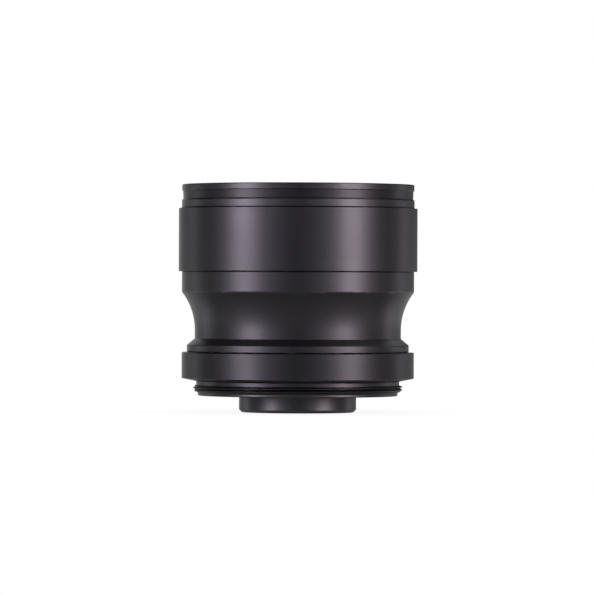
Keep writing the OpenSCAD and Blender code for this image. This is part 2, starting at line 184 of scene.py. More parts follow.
# height of a thread's ridge, from 0 to 1, where a crest climbs one pitch in each turn: a trapezoid wave of
# z / pitch - t / turn with narrow flats, faded out at both ends
def threadWave(z, angle, thread):
    place = (z / thread["pitch"] - angle / (2 * np.pi) + thread["phase"]) % 1
    away = np.abs(place - 0.5)
    flank = (1 - thread["crest"] - thread["valley"]) / 2
    ridge = np.clip((thread["crest"] / 2 + flank - away) / flank, 0, 1)
    fade = np.minimum((z - thread["low"]) / thread["fadeLow"], (thread["high"] - z) / thread["fadeHigh"])
    fade = np.clip(fade, 0, 1)
    return ridge * fade * fade * (3 - 2 * fade)


# surface of turning whose closing side, from the last corner back to the first, carries a thread
def threadedMesh(name, corners, thread):
    outline = roundedOutline(corners)
    threadZ = np.linspace(outline[-1, 1], outline[0, 1], thread["rows"] + 2)[1:-1]
    angle = columnAngles()
    ridge = threadWave(threadZ[:, None], angle, thread)
    threadR = thread["lowR"] + thread["depth"] * ridge
    wide = (len(outline), angle.shape[1])
    r = np.concatenate([np.broadcast_to(outline[:, :1], wide), threadR])
    z = np.concatenate([outline[:, 1], threadZ])[:, None]
    edge = np.concatenate([outline[:, 2:3], np.zeros((len(threadZ), 1))])
    # painted shade in the thread's valleys, full at their roots
    depth = ridge if thread["inside"] else 1 - ridge
    paintedShade = np.concatenate([np.broadcast_to(outline[:, 3:4], wide), depth])
    if runsBack(r[:, 0], z[:, 0]):
        r, z, edge, paintedShade = r[::-1], z[::-1], edge[::-1], paintedShade[::-1]
    return gridMesh(name, r, z, angle, (edge, paintedShade), poles=False)


# surface of turning with two spanner slots: inside a slot, z is squeezed towards the seat by the slot's
# share of the ring's height. Two close columns at each side of a slot make its walls.
def slottedMesh(name, corners, slots, seat, face):
    outline = anticlockwise(roundedOutline(corners))
    halfAngle = slots["width"] / 2 / outline[:, 0].mean()
    wall = slots["wall"] / outline[:, 0].mean()
    sides = np.array([-halfAngle - wall, -halfAngle, halfAngle, halfAngle + wall])
    sides = np.concatenate([sides, sides + np.pi]) % (2 * np.pi)
    angle = np.sort(np.concatenate([columnAngles()[0] + wall, sides]))
    away = np.abs((angle + np.pi / 2) % np.pi - np.pi / 2)
    inside = away < halfAngle + wall / 2
    squeeze = np.where(inside, 1 - slots["depth"] / abs(face - seat), 1)[None, :]
    r, z, edge, paintedShade = outline.T[..., None]
    return gridMesh(name, r, seat + (z - seat) * squeeze, angle[None, :], (edge, paintedShade), poles=False)


# lens: two ball faces z = crown -/+ (ball - sqrt(ball^2 - r^2)) joined by a ground edge with small bevels
def lensMesh(name, edgeR, lowFace, highFace, bevel, rings):
    r = np.linspace(0, edgeR - bevel, rings)
    low = np.column_stack([r, lowFace(r), np.zeros(rings)])
    high = np.column_stack([r[::-1], highFace(r[::-1]), np.zeros(rings)])
    rim = np.array([[edgeR, lowFace(edgeR) + bevel, 1], [edgeR, highFace(edgeR) - bevel, 1]])
    outlineR, outlineZ, edge = np.concatenate([low, rim, high]).T[..., None]
    return gridMesh(name, outlineR, outlineZ, columnAngles(), (edge,), poles=True)


print("shape functions ready")


# shared effects, as shader groups

def newGroup(name, inputs, outputs):
    group = bpy.data.node_groups.new(name, "ShaderNodeTree")
    for socketName, kind, value in inputs:
        socket = group.interface.new_socket(socketName, in_out="INPUT", socket_type=kind)
        if value is not None:
            socket.default_value = value
    for socketName, kind in outputs:
        group.interface.new_socket(socketName, in_out="OUTPUT", socket_type=kind)
    entry = group.nodes.new("NodeGroupInput")
    leave = group.nodes.new("NodeGroupOutput")
    return group, entry, leave


def mathNode(tree, operation, first, second=None, clamp=False):
    node = tree.nodes.new("ShaderNodeMath")
    node.operation = operation
    node.use_clamp = clamp
    for socket, value in zip(node.inputs, (first, second)):
        if value is None:
            continue
        if isinstance(value, (int, float)):
            socket.default_value = value
        else:
            tree.links.new(value, socket)
    return node.outputs[0]


# smooth step of value from the first limit, 0, to the second, 1
def fadeNode(tree, value, limits):
    fade = tree.nodes.new("ShaderNodeMapRange")
    fade.interpolation_type = "SMOOTHSTEP"
    fade.inputs["From Min"].default_value, fade.inputs["From Max"].default_value = limits
    tree.links.new(value, fade.inputs["Value"])
    return fade.outputs["Result"]


streakLines = 0.06  # streaks for each tool mark


# fine marks of the cutting tool: noise that changes along z and along the radius, and hardly round the axis
def makeTurnedGrain():
    group, entry, leave = newGroup("turnedGrain", [
        ("Point", "NodeSocketVector", None),
        ("Lines", "NodeSocketFloat", 9000.0),
        ("Drift", "NodeSocketFloat", 60.0),
    ], [("Ridge", "NodeSocketFloat"), ("Streak", "NodeSocketFloat")])
    split = group.nodes.new("ShaderNodeSeparateXYZ")
    group.links.new(entry.outputs["Point"], split.inputs[0])
    x, y, z = split.outputs
    radius = mathNode(group, "SQRT", mathNode(group, "ADD", mathNode(group, "MULTIPLY", x, x),
                                              mathNode(group, "MULTIPLY", y, y)))
    along = mathNode(group, "ADD", z, radius)
    for outName, factor in (("Ridge", 1.0), ("Streak", streakLines)):
        place = group.nodes.new("ShaderNodeCombineXYZ")
        lines = mathNode(group, "MULTIPLY", entry.outputs["Lines"], factor)
        group.links.new(mathNode(group, "MULTIPLY", along, lines), place.inputs[0])
        group.links.new(mathNode(group, "MULTIPLY", x, entry.outputs["Drift"]), place.inputs[1])
        group.links.new(mathNode(group, "MULTIPLY", y, entry.outputs["Drift"]), place.inputs[2])
        noise = group.nodes.new("ShaderNodeTexNoise")
        noise.inputs["Scale"].default_value = 1.0
        noise.inputs["Detail"].default_value = 2.0
        group.links.new(place.outputs[0], noise.inputs["Vector"])
        group.links.new(noise.outputs["Fac"], leave.inputs[outName])
    return group


wearPatches = (0.48, 0.72)  # noise levels over which wear sets in


# wear on rounded corners: the corner mask, broken up by noise
def makeEdgeWear():
    group, entry, leave = newGroup("edgeWear", [
        ("Point", "NodeSocketVector", None),
        ("Edge", "NodeSocketFloat", 0.0),
        ("Amount", "NodeSocketFloat", 0.3),
        ("Scale", "NodeSocketFloat", 350.0),
    ], [("Wear", "NodeSocketFloat")])
    noise = group.nodes.new("ShaderNodeTexNoise")
    noise.inputs["Detail"].default_value = 4.0
    group.links.new(entry.outputs["Point"], noise.inputs["Vector"])
    group.links.new(entry.outputs["Scale"], noise.inputs["Scale"])
    patches = fadeNode(group, noise.outputs["Fac"], wearPatches)
    worn = mathNode(group, "MULTIPLY", patches, entry.outputs["Edge"])
    wear = mathNode(group, "MULTIPLY", worn, entry.outputs["Amount"], clamp=True)
    group.links.new(wear, leave.inputs["Wear"])
    return group


hazeNoise = (0.3, 0.7)  # noise levels that give low and high


# cloudy change over a surface, from low to high, for dye, haze and handling
def makeHaze():
    group, entry, leave = newGroup("haze", [
        ("Point", "NodeSocketVector", None),
        ("Scale", "NodeSocketFloat", 90.0),
        ("Low", "NodeSocketFloat", 0.3),
        ("High", "NodeSocketFloat", 0.4),
    ], [("Value", "NodeSocketFloat")])
    noise = group.nodes.new("ShaderNodeTexNoise")
    noise.inputs["Detail"].default_value = 5.0
    noise.inputs["Roughness"].default_value = 0.6
    group.links.new(entry.outputs["Point"], noise.inputs["Vector"])
    group.links.new(entry.outputs["Scale"], noise.inputs["Scale"])
    ramp = group.nodes.new("ShaderNodeMapRange")
    ramp.inputs["From Min"].default_value, ramp.inputs["From Max"].default_value = hazeNoise
    group.links.new(noise.outputs["Fac"], ramp.inputs["Value"])
    group.links.new(entry.outputs["Low"], ramp.inputs["To Min"])
    group.links.new(entry.outputs["High"], ramp.inputs["To Max"])
    group.links.new(ramp.outputs["Result"], leave.inputs["Value"])
    return group


turnedGrain = makeTurnedGrain()
edgeWear = makeEdgeWear()
haze = makeHaze()
print("shader groups ready")


# materials

def newMaterial(name):
    material = bpy.data.materials.new(name)
    material.use_nodes = True
    tree = material.node_tree
    shader = tree.nodes["Principled BSDF"]
    point = tree.nodes.new("ShaderNodeTexCoord").outputs["Object"]
    return material, tree, shader, point


def useGroup(tree, group, point, **values):
    node = tree.nodes.new("ShaderNodeGroup")
    node.node_tree = group
    tree.links.new(point, node.inputs["Point"])
    for name, value in values.items():
        socket = node.inputs[name]
        if isinstance(value, (int, float)):
            socket.default_value = value
        else:
            tree.links.new(value, socket)
    return node


def mixColour(tree, factor, first, second):
    mix = tree.nodes.new("ShaderNodeMix")
    mix.data_type = "RGBA"
    tree.links.new(factor, mix.inputs["Factor"])
    for socket, value in ((mix.inputs[6], first), (mix.inputs[7], second)):
        if isinstance(value, tuple):
            socket.default_value = (*value, 1)
        else:
            tree.links.new(value, socket)
    return mix.outputs[2]


# tool marks as a fine bump
def grainBump(tree, shader, grain, look):
    bump = tree.nodes.new("ShaderNodeBump")
    bump.inputs["Distance"].default_value = look["depth"] * mm
    bump.inputs["Strength"].default_value = look["bump"]
    tree.links.new(grain.outputs["Ridge"], bump.inputs["Height"])
    tree.links.new(bump.outputs["Normal"], shader.inputs["Normal"])


# turned aluminium with a dyed and sealed skin, bright under worn corners, with painted shade in corners,
# joints and thread valleys
def anodisedMetal(name, look):
    material, tree, shader, point = newMaterial(name)
    edge = tree.nodes.new("ShaderNodeAttribute")
    edge.attribute_name = "edgeMask"
    grain = useGroup(tree, turnedGrain, point, Lines=look["lines"], Drift=look["drift"])
    wear = useGroup(tree, edgeWear, point, Edge=edge.outputs["Fac"], Amount=look["wear"])
    speckle = useGroup(tree, haze, point, Scale=look["speckle"], Low=0.0, High=look["speckleShare"])
    streak = mathNode(tree, "MULTIPLY", grain.outputs["Streak"], 1 - look["speckleShare"])
    share = mathNode(tree, "ADD", streak, speckle.outputs["Value"])
    dye = mixColour(tree, share, look["dark"], look["pale"])
    worn = mixColour(tree, wear.outputs["Wear"], dye, look["bare"])
    # painted shade: the mask blends the colour towards near-black in corners, joints, recesses and thread
    # valleys
    paintedShade = tree.nodes.new("ShaderNodeAttribute")
    paintedShade.attribute_name = "paintedShadeMask"
    colour = mixColour(tree, paintedShade.outputs["Fac"], worn, look["paintedShadeColour"])
    rough = useGroup(tree, haze, point, Scale=look["hazeScale"], Low=look["smooth"], High=look["rough"])
    grainBump(tree, shader, grain, look)
    tree.links.new(colour, shader.inputs["Base Color"])
    tree.links.new(rough.outputs["Value"], shader.inputs["Roughness"])
    shader.inputs["Metallic"].default_value = look["metallic"]
    shader.inputs["Anisotropic"].default_value = look["stretch"]
    shader.inputs["Anisotropic Rotation"].default_value = look["stretchTurn"]
    around = tree.nodes.new("ShaderNodeTangent")
    around.direction_type = "RADIAL"
    around.axis = "Z"
    tree.links.new(around.outputs[0], shader.inputs["Tangent"])
    return material


blackSkin = {
    "dark": (0.0383, 0.0368, 0.0390),
    "pale": (0.0453, 0.0436, 0.0462),
    "bare": (0.30, 0.29, 0.30),
    "paintedShadeColour": (0.005, 0.005, 0.005),  # painted shade in corners, joints and thread valleys
    "metallic": 0.98,
    "smooth": 0.42,
    "rough": 0.465,
    "stretch": 0.37,  # highlights spread along the axis
    "stretchTurn": 0.25,  # a quarter turn, across the tool marks
    "hazeScale": 70.0,
    "speckle": 1700.0,  # spots in each metre
    "speckleShare": 0.5,  # of the dye's change; the rest is streaks
    "lines": 9000.0,  # tool marks in each metre
    "drift": 40.0,
    "depth": 0.002,
    "bump": 0.35,
    "wear": 0.10,
}
sleeveBlack = anodisedMetal("sleeveBlack", blackSkin)
# lighter copies of the same black skin: their raised base colours are painted light, brightening the ring's
# highlights, the collar's neck under the flange and the rear tube under the collar
ringBlackPaintedLight = anodisedMetal("ringBlackPaintedLight", {**blackSkin, "lines": 11000.0, "hazeScale": 110.0,
                                        "dark": (0.0440, 0.0423, 0.0448), "pale": (0.0521, 0.0501, 0.0531)})
waistBlack = anodisedMetal("waistBlack", {**blackSkin, "lines": 8000.0, "hazeScale": 55.0})
collarBlackPaintedLight = anodisedMetal("collarBlackPaintedLight", {**blackSkin, "wear": 0.12, "dark": (0.0440, 0.0423, 0.0448),
                                            "pale": (0.0518, 0.0501, 0.0530)})
rearBlackPaintedLight = anodisedMetal("rearBlackPaintedLight", {**blackSkin, "wear": 0.14, "dark": (0.0567, 0.0545, 0.0578),
                                        "pale": (0.0674, 0.0648, 0.0687)})


# matt black of the inside and of rubber
def mattBlack(name, look):
    material, tree, shader, point = newMaterial(name)
    grain = useGroup(tree, turnedGrain, point, Lines=look["lines"], Drift=look["drift"])
    tone = mixColour(tree, grain.outputs["Ridge"], look["dark"], look["pale"])
    rough = useGroup(tree, haze, point, Scale=look["hazeScale"], Low=look["smooth"], High=look["rough"])
    grainBump(tree, shader, grain, look)
    tree.links.new(tone, shader.inputs["Base Color"])
    tree.links.new(rough.outputs["Value"], shader.inputs["Roughness"])
    return material


mattSkin = {"drift": 90.0, "hazeScale": 160.0, "bump": 0.5}
innerBlack = mattBlack("innerBlack", {
    **mattSkin, "dark": (0.008, 0.008, 0.009), "pale": (0.016, 0.016, 0.017), "smooth": 0.5, "rough": 0.62,
    "lines": 5000.0, "depth": 0.006})
rubberBlack = mattBlack("rubberBlack", {
    **mattSkin, "dark": (0.012, 0.012, 0.012), "pale": (0.022, 0.022, 0.022), "smooth": 0.7, "rough": 0.85,
    "lines": 2500.0, "depth": 0.01})


# polished and coated lens glass, with a thin film that tints what it reflects
def lensGlass(name, look):
    material, tree, shader, point = newMaterial(name)
    shade = useGroup(tree, haze, point, Scale=look["hazeScale"], Low=look["smooth"], High=look["rough"])
    tree.links.new(shade.outputs["Value"], shader.inputs["Roughness"])
    shader.inputs["Base Color"].default_value = (*look["tint"], 1)
    shader.inputs["Transmission Weight"].default_value = 1.0
    shader.inputs["IOR"].default_value = look["ior"]
    shader.inputs["Thin Film Thickness"].default_value = look["film"]
    shader.inputs["Thin Film IOR"].default_value = look["filmIor"]
    return material


polish = {"smooth": 0.0, "hazeScale": 45.0, "filmIor": 1.38}
frontGlass = lensGlass("frontGlass", {**polish, "tint": (0.97, 0.99, 0.98), "ior": 1.52, "film": 430.0,
                                      "rough": 0.012})
innerGlass = lensGlass("innerGlass", {**polish, "tint": (0.98, 0.98, 0.97), "ior": 1.60, "film": 330.0,
                                      "rough": 0.01})


# plain metals and plastic of the small hidden parts
def plainFinish(name, look):
    material, tree, shader, point = newMaterial(name)
    shade = useGroup(tree, haze, point, Scale=look["scale"], Low=0.0, High=1.0)
    tone = mixColour(tree, shade.outputs["Value"], look["dark"], look["pale"])
    tree.links.new(tone, shader.inputs["Base Color"])
    rough = useGroup(tree, haze, point, Scale=look["scale"] * 2, Low=look["smooth"], High=look["rough"])
    tree.links.new(rough.outputs["Value"], shader.inputs["Roughness"])
    shader.inputs["Metallic"].default_value = look["metallic"]
    return material


screwSteel = plainFinish("screwSteel", {"dark": (0.36, 0.37, 0.38), "pale": (0.48, 0.49, 0.50),
                                        "scale": 400.0, "smooth": 0.28, "rough": 0.4, "metallic": 1.0})
shimBrass = plainFinish("shimBrass", {"dark": (0.58, 0.42, 0.18), "pale": (0.72, 0.55, 0.28),
                                      "scale": 250.0, "smooth": 0.25, "rough": 0.38, "metallic": 1.0})
slipPlastic = plainFinish("slipPlastic", {"dark": (0.76, 0.75, 0.71), "pale": (0.86, 0.85, 0.82),
                                          "scale": 300.0, "smooth": 0.45, "rough": 0.6, "metallic": 0.0})
print("materials ready")


# barrel

sleeve = {"inner": 26.6, "chamfer": 0.11, "rounding": 0.05}


def makeCoverSleeve():
    outer, low, high = nodeSpan("cover_sleeve")
    inner, cut, soft = sleeve["inner"], sleeve["chamfer"], sleeve["rounding"]
    # the fourth numbers paint shade on the chamfers at both joints and at the inner top corner
    corners = [(inner, low, 0), (outer - cut, low, soft, 0.8), (outer, low + cut, soft, 0.5),
               (outer, high - cut, soft), (outer - cut, high, soft, 0.5), (inner, high, 0, 1)]
    addPiece(turnedMesh("coverSleeve", corners), sleeveBlack, "barrel", "cover_sleeve")


waist = {
    "shoulder": 4.8,  # heights, from the sleeve down
    "sweep": 8.9,
    "straight": 1.95,
    "flare": 1.55,
    "depth": 3.05,  # of the waist below the shoulder
    "flareOut": 1.85,
    "chamfer": 0.12,
    "edge": 0.07,
    "shoulderRound": 0.75,
    "bandRound": 0.35,
    "sweepPoints": 40,
    "sweepLeft": 3,  # last points, left to the shoulder's rounding
    "underSleeve": 26.55,  # radii inside
    "socket": 24.98,
    "socketFloor": 28.06,
    "tunnel": 20.5,
    "room": 18.0,
    "cellBore": 14.6,
    "spigot": 20.03,
    "spigotEnd": 19.08,
}


def makeWaistBarrel():
    outer, spigotEndZ, jointZ = nodeSpan("waist_barrel")
    sleeveZ = nodeSpan("cover_sleeve")[1]
    bandZ = nodeSpan("collar_washer")[2]
    keeperZ = nodeSpan("collar_retainer")[2]
    shoulderZ = sleeveZ - waist["shoulder"]
    sweepZ = shoulderZ - waist["sweep"]
    waistZ = sweepZ - waist["straight"]
    flareZ = waistZ - waist["flare"]
    waistR = outer - waist["depth"]
    bandR = waistR + waist["flareOut"]
    cut, soft = waist["chamfer"], waist["edge"]
    # the concave sweep is part of a circle that leaves the straight waist without a kink
    ball = (waist["sweep"] ** 2 + waist["depth"] ** 2) / (2 * waist["depth"])
    top = math.asin(waist["sweep"] / ball)
    turn = np.linspace(0, top, waist["sweepPoints"])[:-waist["sweepLeft"]]
    sweep = np.column_stack([waistR + ball - ball * np.cos(turn), sweepZ + ball * np.sin(turn), 0 * turn])
    bore, spigotEnd, spigot = waist["cellBore"], waist["spigotEnd"], waist["spigot"]
    # the fourth numbers paint shade into the corners at the collar's joint and the sleeve's joint
    below = [(bore, spigotEndZ, 0), (spigotEnd, spigotEndZ, 0), (spigotEnd, keeperZ, 0), (spigot, keeperZ, 0),
             (spigot, bandZ, 0, 1), (bandR - cut, bandZ, soft, 0.8), (bandR, bandZ + cut, soft),
             (bandR, flareZ, waist["bandRound"]), (waistR, waistZ, soft)]
    under, socket, socketZ = waist["underSleeve"], waist["socket"], waist["socketFloor"]
    tunnel, hall = waist["tunnel"], waist["room"]
    above = [(outer, shoulderZ, waist["shoulderRound"]), (outer, sleeveZ - cut, soft, 0.6),
             (outer - cut, sleeveZ, soft, 1), (under, sleeveZ, 0, 1), (under, jointZ, 0), (socket, jointZ, 0),
             (socket, socketZ, 0), (tunnel, socketZ, 0), (tunnel, sweepZ, 0), (hall, sweepZ, 0),
             (hall, flareZ, 0), (bore, flareZ, 0)]
    corners = [*below, *sweep, *above]
    addPiece(turnedMesh("waistBarrel", corners), waistBlack, "barrel", "waist_barrel")


frontRing = {
    "nose": 25.0,
    "noseTop": 0.2,  # below the groove
    "bandHeight": 2.05,
    "grooveHeight": 2.0,
    "bandR": 27.2,
    "lipR": 27.15,
    "grooveR": 26.9,
    "grooveTaper": 0.03,
    "grooveFillet": 0.12,
    "groovePaintedShade": 0.4,  # painted shade on its wall
    "grooveCorner": 0.25,
    "bandCut": (0.15, 0.28),  # inwards and down
    "lipRound": 0.3,
    "mouthRound": 0.03,
    "edge": 0.1,
    "chamfer": 0.2,
    "underCut": 0.16,
}
filterThread = {"pitch": 0.75, "depth": 0.46, "crest": 0.08, "valley": 0.08, "phase": 0.2, "fadeLow": 0.25,
                "fadeHigh": 0.25, "rows": 72, "lowR": 25.54, "inside": True, "length": 2.25}


def makeFrontRing():
    _, low, high = nodeSpan("front_ring")
    grooveZ = low + frontRing["bandHeight"]
    lipZ = grooveZ + frontRing["grooveHeight"]
    noseZ = grooveZ - frontRing["noseTop"]
    cut, soft = frontRing["chamfer"], frontRing["edge"]
    threadTop = high - 2 * cut
    threadLow = threadTop - filterThread["length"]
    root, nose = filterThread["lowR"], frontRing["nose"]
    relief = root + filterThread["depth"]
    band, groove, lip = frontRing["bandR"], frontRing["grooveR"], frontRing["lipR"]
    taper, under = frontRing["grooveTaper"], frontRing["underCut"]
    grooveShade, inset = frontRing["groovePaintedShade"], frontRing["grooveCorner"]
    cutIn, cutDown = frontRing["bandCut"]
    # the fourth numbers paint shade: full in the groove's corners and at the joint with the sleeve, lighter
    # on the groove's wall and the lip's lower chamfer
    corners = [(root, threadTop, 0), (root, high - cut, frontRing["mouthRound"]), (root + cut, high, fine),
               (lip, high, frontRing["lipRound"]), (lip, lipZ, soft, 0.5), (groove + taper, lipZ, fine, 1),
               (groove + taper, lipZ - inset, 0, grooveShade), (groove - taper, grooveZ + inset, 0, grooveShade),
               (groove - taper, grooveZ, frontRing["grooveFillet"], 1), (band - cutIn, grooveZ, fine),
               (band, grooveZ - cutDown, soft), (band, low + under, fine, 0.4), (band - under, low, fine, 1),
               (nose, low, 0, 1), (nose, noseZ, 0), (relief, noseZ, 0), (relief, threadLow, 0),
               (root, threadLow, 0)]
    thread = {**filterThread, "low": threadLow, "high": threadTop}
    addPiece(threadedMesh("frontRing", corners, thread), ringBlackPaintedLight, "barrel", "front_ring")


frontBarrel = {"bore": 23.23, "skirt": 24.93, "outer": 26.55, "nose": 24.95, "seat": 21.43, "seatHeight": 1.4,
               "retainerBore": 23.98, "lensEdgeDrop": 0.2, "edge": 0.08}


def makeFrontBarrel():
    _, low, high = nodeSpan("front_barrel")
    jointZ = nodeSpan("waist_barrel")[2]
    ringZ = nodeSpan("front_ring")[1]
    seatZ = low + frontBarrel["seatHeight"]
    lensEdgeZ = nodeSpan("front_element")[2] - sag(frontLens["face"], frontLens["radius"])
    edgeZ = lensEdgeZ - frontBarrel["lensEdgeDrop"]
    bore, rim, seat = frontBarrel["bore"], frontBarrel["retainerBore"], frontBarrel["seat"]
    skirt, outer, nose = frontBarrel["skirt"], frontBarrel["outer"], frontBarrel["nose"]
    soft = frontBarrel["edge"]
    corners = [(seat, low, 0), (skirt, low, 0), (skirt, jointZ, 0), (outer, jointZ, 0), (outer, ringZ, 0),
               (nose, ringZ, 0), (nose, high, soft), (rim, high, soft), (rim, edgeZ, 0), (bore, edgeZ, 0),
               (bore, seatZ, 0), (seat, seatZ, fine)]
    addPiece(turnedMesh("frontBarrel", corners), innerBlack, "barrel", "front_barrel")


# lenses and what holds them

frontLens = {"radius": 23.2, "face": 55.0, "back": 130.0, "bevel": 0.12, "rings": 48}
crownLens = {"radius": 23.2, "face": 68.0, "cement": 180.0, "bevel": 0.08, "rings": 36}
flintLens = {"radius": 23.2, "cement": 180.02, "back": 110.0, "bevel": 0.08, "rings": 36}
rearLens = {"radius": 11.0, "front": 130.0, "back": 80.0, "bevel": 0.1, "rings": 28}


# face of a lens: a ball whose crown is at z = crown, and which drops (side -1) or rises (side 1) from there
def ballFace(crown, side, ball):
    return lambda r: crown + side * sag(ball, r)


def addLens(name, node, lens, lowFace, highFace, glass):
    mesh = lensMesh(name, lens["radius"], lowFace, highFace, lens["bevel"], lens["rings"])
    addPiece(mesh, glass, "barrel", node)


def makeLenses():
    _, low, high = nodeSpan("front_element")
    backCrown = low + sag(frontLens["back"], frontLens["radius"])
    addLens("frontLens", "front_element", frontLens, ballFace(backCrown, -1, frontLens["back"]),
            ballFace(high, -1, frontLens["face"]), frontGlass)
    _, low, high = nodeSpan("doublet_crown")
    addLens("crownLens", "doublet_crown", crownLens, ballFace(low, 1, crownLens["cement"]),
            ballFace(high, -1, crownLens["face"]), innerGlass)
    for name, node, lens, front, glass in (("flintLens", "doublet_flint", flintLens, "cement", innerGlass),
                                           ("rearLens", "rear_element", rearLens, "front", frontGlass)):
        _, low, high = nodeSpan(node)
        backCrown = low + sag(lens["back"], lens["radius"])
        frontCrown = high - sag(lens[front], lens["radius"])
        addLens(name, node, lens, ballFace(backCrown, -1, lens["back"]),
                ballFace(frontCrown, 1, lens[front]), glass)


spannerSlots = {"width": 1.5, "depth": 0.7, "wall": 0.02}
frontRetainer = {"inner": 22.3, "lip": 0.5, "slope": 0.25, "edge": 0.08, "rimRound": 0.06}


def makeFrontRetainer():
    outer, low, high = nodeSpan("front_retainer")
    inner, soft = frontRetainer["inner"], frontRetainer["edge"]
    slopeR = inner + (high - low) * frontRetainer["slope"]
    corners = [(inner, low, fine), (outer, low, 0), (outer, high, frontRetainer["rimRound"]),
               (slopeR, high, soft), (inner, low + frontRetainer["lip"], soft)]
    mesh = slottedMesh("frontRetainer", corners, spannerSlots, low, high)
    addPiece(mesh, innerBlack, "barrel", "front_retainer")


# plain ring from its bore to its node's rim, with all four corners alike
def ringCorners(node, inner, soft):
    outer, low, high = nodeSpan(node)
    return [(inner, low, soft), (outer, low, soft), (outer, high, soft), (inner, high, soft)]


cushion = {"inner": 22.3, "rounding": 0.12}


def makeFrontCushion():
    corners = ringCorners("front_cushion", cushion["inner"], cushion["rounding"])
    addPiece(turnedMesh("frontCushion", corners), rubberBlack, "barrel", "front_cushion")


spacer = {"wall": 1.5, "points": 8, "gap": 0.02}


# the spacer's lower face is ground to the crown lens's ball
def makeLensSpacer():
    outer, _, high = nodeSpan("lens_spacer")
    inner = outer - spacer["wall"]
    crownTop = nodeSpan("doublet_crown")[2] + spacer["gap"]
    r = np.linspace(inner, outer, spacer["points"])
    ground = np.column_stack([r, crownTop - sag(crownLens["face"] + spacer["gap"], r), 0 * r])
    corners = [*ground, (outer, high, fine), (inner, high, fine)]
    addPiece(turnedMesh("lensSpacer", corners), innerBlack, "barrel", "lens_spacer")


glareStop = {"reach": 3.5, "lip": 0.2, "play": 0.05}


def makeGlareStop():
    outer, low, high = nodeSpan("glare_stop")
    inner = outer + glareStop["play"] - glareStop["reach"]
    corners = [(inner, low, 0), (outer, low, 0), (outer, high, fine), (inner + high - low, high, fine),
               (inner, low + glareStop["lip"], fine)]
    addPiece(turnedMesh("glareStop", corners), innerBlack, "barrel", "glare_stop")


# rear cell and mount

rearCell = {
    "tube": 13.7,
    "thread": 14.55,
    "flangeThick": 0.6,
    "flangeCut": 0.2,
    "chamfer": 0.65,
    "edge": 0.06,
    "rimRound": 0.08,
    "retainerBore": 11.48,
    "retainerFloor": 1.92,
    "bore": 11.03,
    "seat": 10.03,
    "mouth": 12.88,
}


def makeRearCell():
    flange, low, high = nodeSpan("rear_cell")
    shimZ = nodeSpan("cell_shim")[1]
    flangeZ = shimZ - rearCell["flangeThick"]
    seatZ = nodeSpan("rear_element")[2]
    tube, soft, cut = rearCell["tube"], rearCell["edge"], rearCell["chamfer"]
    step, thread, bore = rearCell["flangeCut"], rearCell["thread"], rearCell["bore"]
    keeper, keeperZ = rearCell["retainerBore"], rearCell["retainerFloor"]
    corners = [(keeper, low, rearCell["rimRound"]), (tube - cut, low, soft), (tube, low + cut, soft),
               (tube, flangeZ, fine), (flange - step, flangeZ, fine), (flange, flangeZ + step, fine),
               (flange, shimZ, 0), (thread, shimZ, 0), (thread, high, 0), (rearCell["mouth"], high, fine),
               (rearCell["seat"], seatZ, 0), (bore, seatZ, 0), (bore, keeperZ, 0), (keeper, keeperZ, 0)]
    addPiece(turnedMesh("rearCell", corners), rearBlackPaintedLight, "barrel", "rear_cell")


rearRetainer = {"inner": 9.7, "edge": 0.08}


def makeRearRetainer():
    outer, low, high = nodeSpan("rear_retainer")
    inner, soft = rearRetainer["inner"], rearRetainer["edge"]
    corners = [(inner, low, soft), (outer, low, soft), (outer, high, 0), (inner, high, fine)]
    mesh = slottedMesh("rearRetainer", corners, spannerSlots, high, low)
    addPiece(mesh, innerBlack, "barrel", "rear_retainer")


collarRetainer = {"inner": 19.13, "chamfer": 0.2, "edge": 0.06}


def makeCollarRetainer():
    outer, low, high = nodeSpan("collar_retainer")
    inner, cut, soft = collarRetainer["inner"], collarRetainer["chamfer"], collarRetainer["edge"]
    corners = [(inner, low, soft), (outer - cut, low, soft), (outer, low + cut, soft), (outer, high, 0),
               (inner, high, 0)]
    mesh = slottedMesh("collarRetainer", corners, spannerSlots, high, low)
    addPiece(mesh, innerBlack, "barrel", "collar_retainer")


thinRings = {"shim": 14.6, "washer": 20.08, "edge": 0.03}


def makeThinRings():
    corners = ringCorners("cell_shim", thinRings["shim"], thinRings["edge"])
    addPiece(turnedMesh("cellShim", corners), shimBrass, "barrel", "cell_shim")
    corners = ringCorners("collar_washer", thinRings["washer"], thinRings["edge"])
    addPiece(turnedMesh("collarWasher", corners), slipPlastic, "barrel", "collar_washer")


collar = {
    "pilotHeight": 0.85,
    "flangeHeight": 6.6,
    "pilot": 23.35,
    "pilotLand": 0.6,
    "pilotRise": 0.35,
    "neck": 23.75,
    "pocket": 22.0,
    "bore": 20.11,
    "lipClear": 0.1,  # above the retainer
    "recess": 22.71,  # for the washer
    "play": 0.05,
    "chamfer": 0.18,
    "topChamfer": 0.17,
    "underDrop": 0.18,  # the flange's underside slopes from here at the neck
    "underRise": 0.51,  # to here at the rim
    "flangePaintedShade": 0.30,  # painted shade on its outer wall
    "paintedShadeStart": 0.25,  # where that painted shade starts, above the rim's lower edge
    "underRound": 0.14,
    "neckRound": 0.06,
    "pocketRound": 0.1,
    "pilotRound": 0.04,
    "edge": 0.08,
}
mountThread = {"pitch": 0.75, "depth": 0.46, "crest": 0.1, "valley": 0.1, "phase": 0.45, "fadeLow": 0.45,
               "fadeHigh": 0.2, "rows": 80, "lowR": 24.04, "inside": False, "runIn": -0.1, "neckEnd": 1.13}


